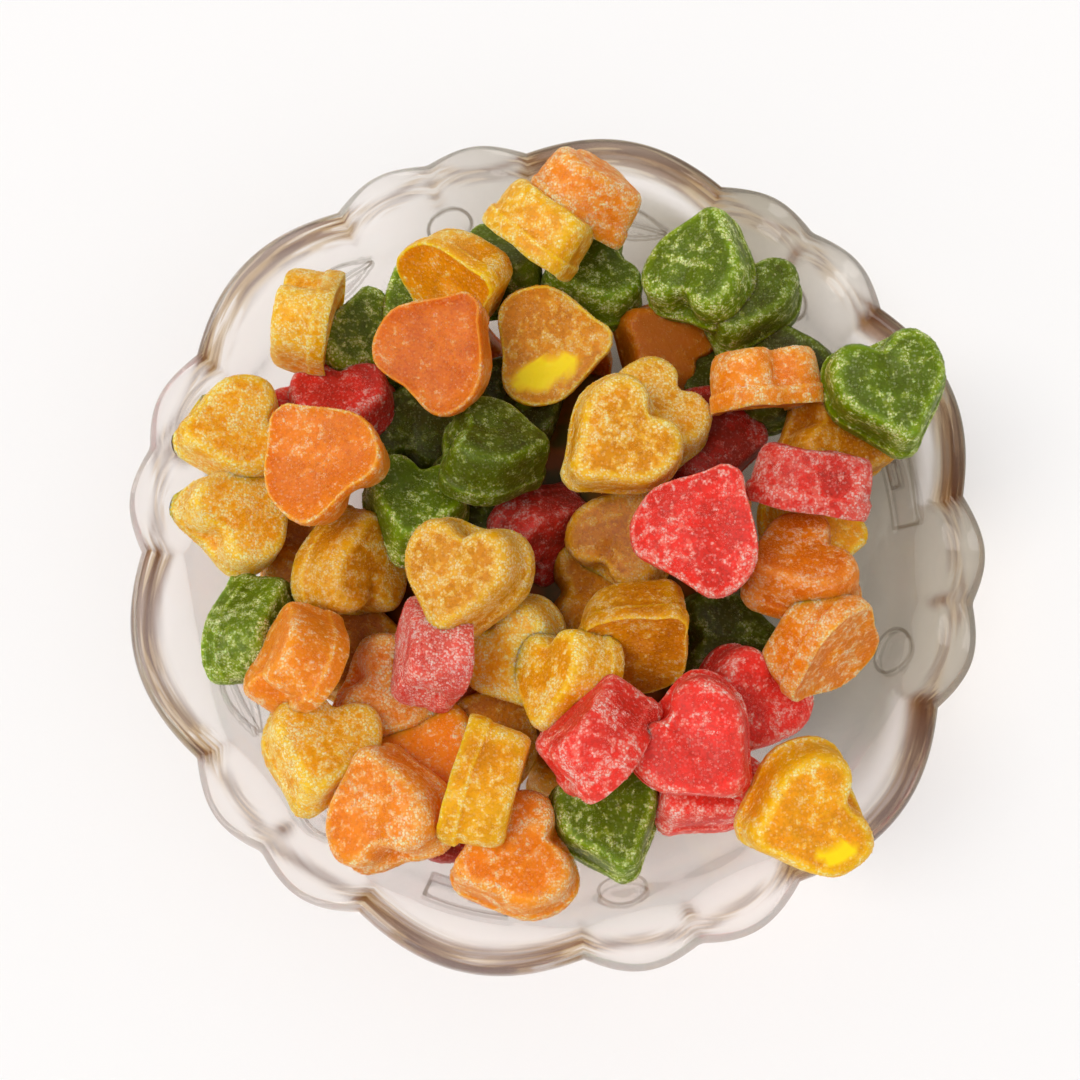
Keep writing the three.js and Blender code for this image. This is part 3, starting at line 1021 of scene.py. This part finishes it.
class Nodes:
    """A node tree with short calls to add and join its nodes."""

    def __init__(self, tree: bpy.types.NodeTree) -> None:
        """Keeps the tree.

        Args:
            tree: a material's tree or a group's.
        """
        self.tree = tree

    def add(self, kind: str, values: dict | None = None, **settings: object) -> bpy.types.Node:
        """Adds a node.

        Args:
            kind: its type name.
            values: its input sockets' values or what feeds them, by name or number.
            settings: its own properties.

        Returns:
            The node.
        """
        node = self.tree.nodes.new(kind)
        for name, value in settings.items():
            setattr(node, name, value)
        self.fill(node, values or {})
        return node

    def fill(self, node: bpy.types.Node, values: dict) -> None:
        """Sets some of a node's inputs.

        Args:
            node: the node.
            values: its input sockets' values or what feeds them, by name or number.
        """
        for name, value in values.items():
            if isinstance(value, bpy.types.NodeSocket):
                self.tree.links.new(value, node.inputs[name])
            else:
                node.inputs[name].default_value = value

    def math(self, kind: str, first: object, second: object, clamp: bool = False) -> bpy.types.NodeSocket:
        """A Math node's result."""
        return self.add("ShaderNodeMath", {0: first, 1: second}, operation=kind, use_clamp=clamp).outputs[0]

    def plus(self, *terms: object) -> bpy.types.NodeSocket:
        """The sum of two or more values."""
        return functools.reduce(lambda first, second: self.math("ADD", first, second), terms)

    def times(self, first: object, second: object) -> bpy.types.NodeSocket:
        """The product of two values."""
        return self.math("MULTIPLY", first, second)

    def mix(self, share: object, first: object, second: object) -> bpy.types.NodeSocket:
        """A colour mix of two colours."""
        colours = {"Factor": share, 6: first, 7: second}
        return self.add("ShaderNodeMix", colours, data_type="RGBA").outputs[2]

    def spread(self, value: object, low: float, high: float) -> bpy.types.NodeSocket:
        """A soft step of a value from low to high, to 0 and 1."""
        limits = {0: value, 1: low, 2: high, 3: 0.0, 4: 1.0}
        return self.add("ShaderNodeMapRange", limits, interpolation_type="SMOOTHSTEP").outputs[0]

    def noise(self, vector: object, scale: float, detail: float) -> bpy.types.NodeSocket:
        """A noise pattern's value."""
        values = {"Vector": vector, "Scale": scale, "Detail": detail}
        return self.add("ShaderNodeTexNoise", values).outputs[0]

    def marked(self, name: str) -> bpy.types.NodeSocket:
        """What a mesh's points are marked with under a name."""
        return self.add("ShaderNodeAttribute", attribute_name=name).outputs["Fac"]

    def place(self) -> bpy.types.NodeSocket:
        """Where on the object a point is, in metres."""
        return self.add("ShaderNodeTexCoord").outputs["Object"]

    def join(self, share: object, first: bpy.types.Node, second: bpy.types.Node) -> bpy.types.Node:
        """A shader that goes from one to another."""
        return self.add("ShaderNodeMixShader", {0: share, 1: first.outputs[0], 2: second.outputs[0]})


def new_material(name: str) -> tuple[bpy.types.Material, Nodes, bpy.types.Node]:
    """A new material.

    Args:
        name: its name.

    Returns:
        The material, its nodes and its Principled shader.
    """
    material = bpy.data.materials.new(name)
    material.use_nodes = True
    nodes = Nodes(material.node_tree)
    return material, nodes, material.node_tree.nodes["Principled BSDF"]


def frosting_group() -> bpy.types.NodeTree:
    """A group every flavour uses: sugar stuck and half melted on the jelly, and its painted shade and glow.

    Returns:
        The group: it takes the jelly's colours, and gives colour, roughness and height.
    """
    group = bpy.data.node_groups.new("frosting", "ShaderNodeTree")
    for name in ("Clear", "Deep", "Frosted", "Crystal", "Lit"):
        group.interface.new_socket(name, in_out="INPUT", socket_type="NodeSocketColor")
    group.interface.new_socket("Colour", in_out="OUTPUT", socket_type="NodeSocketColor")
    group.interface.new_socket("Roughness", in_out="OUTPUT", socket_type="NodeSocketFloat")
    group.interface.new_socket("Height", in_out="OUTPUT", socket_type="NodeSocketFloat")
    nodes = Nodes(group)
    given = nodes.add("NodeGroupInput").outputs
    place = nodes.place()
    frost, shade, ridge, clear = (nodes.marked(name) for name in ("frost", "shade", "ridge", "clear"))
    bare = nodes.math("SUBTRACT", 1.0, clear, clamp=True)
    grit = nodes.noise(place, 1500.0, 1.0)
    clots = nodes.noise(place, *CLOTS)
    patches = nodes.noise(place, *PATCHES)
    liking = nodes.plus(nodes.times(patches, 0.7), nodes.times(clots, 1.2))
    liking = nodes.plus(liking, nodes.times(ridge, 0.22), nodes.times(frost, 0.24))
    crust = nodes.times(nodes.spread(liking, 1.09, 1.25), bare)
    film = nodes.times(nodes.plus(0.02, nodes.times(crust, 0.5)), bare)
    grains = nodes.add("ShaderNodeTexVoronoi", {"Vector": place, "Scale": 2000.0}).outputs
    lot = nodes.add("ShaderNodeSeparateColor", {0: grains["Color"]}).outputs
    dot = nodes.spread(grains["Distance"], 0.75, 0.4)
    stuck = nodes.spread(nodes.plus(lot[0], nodes.times(crust, 0.45)), 0.55, 1.05)
    thick = nodes.times(nodes.spread(liking, 1.22, 1.36), 0.35)
    strength = nodes.plus(0.26, nodes.times(crust, 0.36), thick)
    bits = nodes.times(nodes.times(nodes.times(dot, stuck), strength), bare)
    vary = nodes.times(nodes.spread(patches, 0.6, 0.4), 0.26)
    pits = nodes.times(nodes.spread(grit, 0.52, 0.36), 0.2)
    # Painted shade: the jelly goes towards its deep colour with the heart's shade, and in random darker
    # patches and specks.
    deeper = nodes.math("ADD", nodes.plus(shade, pits), vary, clamp=True)
    jelly = nodes.mix(deeper, given["Clear"], given["Deep"])
    # Painted glow: the ridges, less in shade, and the bare bevels go towards the lit colour.
    glowing = nodes.times(ridge, nodes.math("SUBTRACT", 0.5, nodes.times(shade, 0.5)))
    jelly = nodes.mix(nodes.math("MAXIMUM", clear, glowing), jelly, given["Lit"])
    # Painted shade on the sugar: the film and the grains go towards the deep colour too.
    dim = nodes.times(shade, SUGAR_SHADE)
    frosted = nodes.mix(dim, given["Frosted"], given["Deep"])
    crystal = nodes.mix(nodes.times(lot[1], 0.6), given["Crystal"], given["Frosted"])
    crystal = nodes.mix(dim, crystal, given["Deep"])
    colour = nodes.mix(bits, nodes.mix(film, jelly, frosted), crystal)
    rough = nodes.plus(0.42, nodes.times(bits, 0.2))
    height = nodes.plus(nodes.times(bits, 0.8), nodes.times(clots, 0.8))
    nodes.add("NodeGroupOutput", {"Colour": colour, "Roughness": rough, "Height": height})
    return group


@dataclass(frozen=True)
class JellyFinish:
    """One flavour of fruit jelly and the sugar on it, in colours as the eye reads them."""

    name: str
    clear: Colour
    # The deep colour serves for random darker patches and for painted shade, and the lit colour for painted
    # glow.
    deep: Colour
    frosted: Colour
    crystal: Colour
    lit: Colour
    glow: Colour
    frosting: bpy.types.NodeTree

    def jelly(self) -> bpy.types.Material:
        """The hearts' finish: jelly that light goes a little way into, under a crust of sugar.

        Returns:
            The material.
        """
        material, nodes, shader = new_material(f"{self.name}_jelly")
        colours = {
            "Clear": self.clear, "Deep": self.deep, "Frosted": self.frosted, "Crystal": self.crystal,
            "Lit": self.lit,
        }
        linears = {name: linear(colour) for name, colour in colours.items()}
        crust = nodes.add("ShaderNodeGroup", node_tree=self.frosting)
        nodes.fill(crust, linears)
        grain = {"Strength": 0.7, "Distance": 0.0004, "Height": crust.outputs["Height"]}
        nodes.fill(shader, {
            "Base Color": crust.outputs["Colour"],
            "Roughness": crust.outputs["Roughness"],
            "Normal": nodes.add("ShaderNodeBump", grain).outputs[0],
            "Subsurface Weight": 0.85,
            "Subsurface Radius": self.glow,
            "Subsurface Scale": 0.0055,
            "Specular IOR Level": 0.2,
            "IOR": 1.43,
        })
        return material

    def sugar_crystals(self) -> bpy.types.Material:
        """The loose crystals' finish: white sugar, tinted by the jelly under it, with painted shade.

        Returns:
            The material.
        """
        material, nodes, shader = new_material(f"{self.name}_sugar")
        place = nodes.place()
        patches = nodes.times(nodes.noise(place, *PATCHES), 0.7)
        liking = nodes.plus(patches, nodes.times(nodes.noise(place, *CLOTS), 1.2))
        under = nodes.mix(0.5, linear(self.clear), linear(self.frosted))
        lit = nodes.mix(nodes.spread(liking, 0.96, 1.16), under, linear(self.crystal))
        # Painted shade: crystals on hearts deep in the heap go towards the deep colour.
        colour = nodes.mix(nodes.times(nodes.marked("shade"), SUGAR_SHADE), lit, linear(self.deep))
        nodes.fill(shader, {"Base Color": colour, "Roughness": 0.4, "IOR": 1.45})
        return material


@dataclass(frozen=True)
class GlassFinish:
    """Clear pressed glass, a little warm, with painted refraction in the rim and painted shade in the wall.
    """

    clear: Colour = (251, 247, 244)
    # This grey is the colour of the painted shade in the wall.
    grey: Colour = (160, 150, 126)
    # The two browns below are the colours of the painted refraction in the rim.
    tawny: Colour = (190, 158, 114)
    refracted_brown: Colour = (104, 60, 26)
    # The pressed lines are painted dark: painted refraction where the relief's edges bend the light.
    pressed: Colour = (88, 74, 54)
    piped: Colour = (218, 208, 194)
    shadow: Colour = (251, 248, 245)
    most_bounces: float = 3.5
    straight: float = 0.5

    def material(self) -> bpy.types.Material:
        """The bowl's finish: part of the light goes straight through, and all of it at the edges.

        Returns:
            The material.
        """
        material, nodes, shader = new_material("clear_glass")
        place = nodes.place()
        colour = self.colour(nodes, place)
        ripple = {"Strength": 0.2, "Distance": 0.0005, "Height": nodes.noise(place, 90.0, 2.0)}
        nodes.fill(shader, {
            "Base Color": colour,
            "Normal": nodes.add("ShaderNodeBump", ripple).outputs[0],
            "Roughness": 0.03,
            "IOR": 1.42,
            "Transmission Weight": 1.0,
        })
        light = nodes.add("ShaderNodeLightPath").outputs
        one_side = nodes.add("ShaderNodeGamma", {"Color": colour, "Gamma": 0.5}).outputs[0]
        unbent = nodes.add("ShaderNodeBsdfTransparent", {"Color": one_side})
        escaped = nodes.add("ShaderNodeBsdfTransparent", {"Color": linear(self.piped)})
        through = nodes.add("ShaderNodeBsdfTransparent", {"Color": linear(self.shadow)})
        facing = nodes.add("ShaderNodeLayerWeight", {"Blend": 0.5}).outputs["Facing"]
        edge = nodes.math("MAXIMUM", self.straight, nodes.spread(facing, 0.55, 0.85))
        trapped = nodes.math("GREATER_THAN", light["Ray Depth"], self.most_bounces)
        inside = nodes.join(trapped, nodes.join(edge, shader, unbent), escaped)
        passing = nodes.join(light["Is Shadow Ray"], inside, through)
        nodes.fill(material.node_tree.nodes["Material Output"], {"Surface": passing.outputs[0]})
        return material

    def colour(self, nodes: Nodes, place: bpy.types.NodeSocket) -> bpy.types.NodeSocket:
        """The glass's colour: painted refraction in the rim, painted shade in the wall, pressed lines
        painted dark.

        Args:
            nodes: the material's nodes.
            place: where on the bowl a point is.

        Returns:
            The colour.
        """
        split = nodes.add("ShaderNodeSeparateXYZ", {0: place}).outputs
        along_rim = {0: nodes.times(split[0], 48.0), 1: nodes.times(split[1], 48.0)}
        flow = nodes.add("ShaderNodeCombineXYZ", {**along_rim, 2: nodes.times(nodes.marked("across"), 0.95)})
        streak = nodes.noise(flow.outputs[0], 1.0, 1.0)
        brown = nodes.mix(nodes.spread(streak, 0.47, 0.54), linear(self.tawny), linear(self.refracted_brown))
        gap = nodes.times(nodes.spread(streak, 0.42, 0.37), 0.9)
        # Painted shade greys the thin wall.
        thin = nodes.mix(nodes.marked("wall_shade"), linear(self.clear), linear(self.grey))
        # Painted refraction: brown streaks with clear gaps along the rim.
        rim_refraction = nodes.times(nodes.marked("rim_refraction"), nodes.math("SUBTRACT", 1.0, gap))
        colour = nodes.mix(rim_refraction, thin, brown)
        # Painted refraction: the pressed lines painted dark along the relief's edges.
        for name in ("outline", "inner"):
            distance = nodes.math("ABSOLUTE", nodes.marked(name), 0.0)
            line = nodes.times(nodes.spread(distance, 0.6, 0.25), 0.9)
            colour = nodes.mix(line, colour, linear(self.pressed))
        return colour


@dataclass(frozen=True)
class CoreFinish:
    """The jelly of the hidden middle, painted dark as the heap's shade, in colours as the eye reads them."""

    # Both colours are painted shade: yellow and green jelly as dark as they lie deep in the heap.
    amber: Colour = (128, 66, 14)
    green: Colour = (66, 58, 10)

    def material(self) -> bpy.types.Material:
        """The core's finish, in patches of both colours.

        Returns:
            The material.
        """
        material, nodes, shader = new_material("heap_core")
        tone = nodes.spread(nodes.noise(nodes.place(), 120.0, 3.0), 0.35, 0.65)
        colour = nodes.mix(tone, linear(self.amber), linear(self.green))
        nodes.fill(shader, {"Base Color": colour, "Roughness": 0.4, "Specular IOR Level": 0.15})
        return material


# ---- the stage ------------------------------------------------------------------------------------


@dataclass
class Stage:
    """The pale floor, the soft light and the camera. Lengths in millimetres, angles in degrees."""

    bowl: GlassBowl
    floor_size: float = 6000.0
    tilt: float = 13.0
    distance: float = 234.0
    aim_left: float = 2.8
    aim_down: float = 3.7
    lens: float = 35.9

    def floor(self) -> None:
        """A wide pale floor under the bowl's foot."""
        bm = bmesh.new()
        bmesh.ops.create_grid(bm, x_segments=1, y_segments=1, size=self.floor_size / 2)
        bmesh.ops.translate(bm, vec=(0, 0, -0.05), verts=bm.verts)
        mesh = mesh_from(bm, "floor")
        material, nodes, shader = new_material("floor")
        nodes.fill(shader, {"Base Color": linear((250, 249, 249)), "Roughness": 0.9})
        floor = add_object("floor", mesh)
        mesh.materials.append(material)

    def world(self) -> None:
        """Soft white light from all round, brighter in the glass, with darker cards low down."""
        world = bpy.data.worlds.new("studio")
        world.use_nodes = True
        bpy.context.scene.world = world
        nodes = Nodes(world.node_tree)
        direction = nodes.add("ShaderNodeTexCoord").outputs["Generated"]
        height = nodes.add("ShaderNodeSeparateXYZ", {0: direction}).outputs["Z"]
        light = nodes.add("ShaderNodeLightPath").outputs
        unseen = nodes.math("SUBTRACT", 1.0, light["Is Camera Ray"])
        card = nodes.times(nodes.spread(height, 0.36, 0.12), unseen)
        mirrored = nodes.math("SUBTRACT", 1.0, light["Is Diffuse Ray"])
        nodes.fill(world.node_tree.nodes["Background"], {
            "Color": nodes.mix(card, linear((252, 252, 252)), linear((214, 202, 188))),
            "Strength": nodes.plus(0.5, nodes.times(mirrored, 0.36)),
        })

    def sun(self, name: str, towards: Vector, spread: float, strength: float, colour: Colour) -> None:
        """A soft lamp so far off that it lights the whole floor evenly.

        Args:
            name: its name.
            towards: the direction that it is in.
            spread: how wide it looks, in degrees, which softens its shadows.
            strength: how bright it is.
            colour: its colour as the eye reads it.
        """
        data = bpy.data.lights.new(name, "SUN")
        data.angle = math.radians(spread)
        data.energy = strength
        data.color = linear(colour)[:3]
        lamp = add_object(name, data)
        lamp.rotation_euler = towards.to_track_quat("Z", "Y").to_euler()

    def camera(self) -> None:
        """The camera: nearly straight down, a little from the front."""
        tilt = math.radians(self.tilt)
        rim = Vector((0, 0, self.bowl.rim_height))
        back = Vector((0, -math.sin(tilt), math.cos(tilt)))
        up = Vector((0, math.cos(tilt), math.sin(tilt)))
        place = rim + back * self.distance
        aim = rim - Vector((self.aim_left, 0, 0)) - up * self.aim_down
        back = (place - aim).normalized()
        right = up.cross(back).normalized()
        data = bpy.data.cameras.new("camera")
        data.lens = self.lens
        data.sensor_width = 36.0
        camera = add_object("camera", data)
        camera.location = place * MM
        camera.rotation_euler = Matrix((right, back.cross(right), back)).transposed().to_euler()
        bpy.context.scene.camera = camera

    def build(self) -> None:
        """Sets the floor, the lights and the camera."""
        self.camera()
        self.floor()
        self.world()
        self.sun("key", Vector((-0.55, -0.1, 1.05)), 34.0, 1.7, (255, 253, 251))
        self.sun("fill", Vector((0.5, -0.4, 0.8)), 60.0, 0.32, (252, 253, 255))
        bpy.context.scene.view_settings.view_transform = "Standard"


# ---- the whole ------------------------------------------------------------------------------------


def jelly_finishes() -> dict[Flavour, JellyFinish]:
    """The four flavours' finishes, each from its clear, deep, frosted, crystal, lit and glow colours.

    Returns:
        The finishes by flavour.
    """
    colours = {
        ORANGE: (
            (242, 136, 2), (190, 78, 0), (252, 174, 84), (255, 236, 196), (255, 176, 44), (1.0, 0.5, 0.12),
        ),
        YELLOW: (
            (240, 158, 0), (166, 88, 0), (250, 200, 70), (255, 244, 190), (255, 220, 10), (1.0, 0.75, 0.12),
        ),
        RED: (
            (240, 46, 32), (124, 28, 10), (246, 126, 106), (255, 222, 212), (255, 84, 72), (1.0, 0.18, 0.12),
        ),
        GREEN: (
            (90, 112, 0), (56, 50, 0), (154, 170, 42), (236, 242, 186), (144, 176, 0), (0.5, 1.0, 0.12),
        ),
    }
    frosting = frosting_group()
    return {flavour: JellyFinish(flavour.value, *own, frosting) for flavour, own in colours.items()}


def main() -> None:
    """Builds the stage, the bowl and the heap."""
    bowl = GlassBowl()
    Stage(bowl).build()
    bowl.dress(GlassFinish())
    Heap(HeartMould(), bowl).build(jelly_finishes())
    HeapCore().dress(CoreFinish())


if __name__ == "__main__":
    logging.basicConfig(level=logging.INFO)
    main()
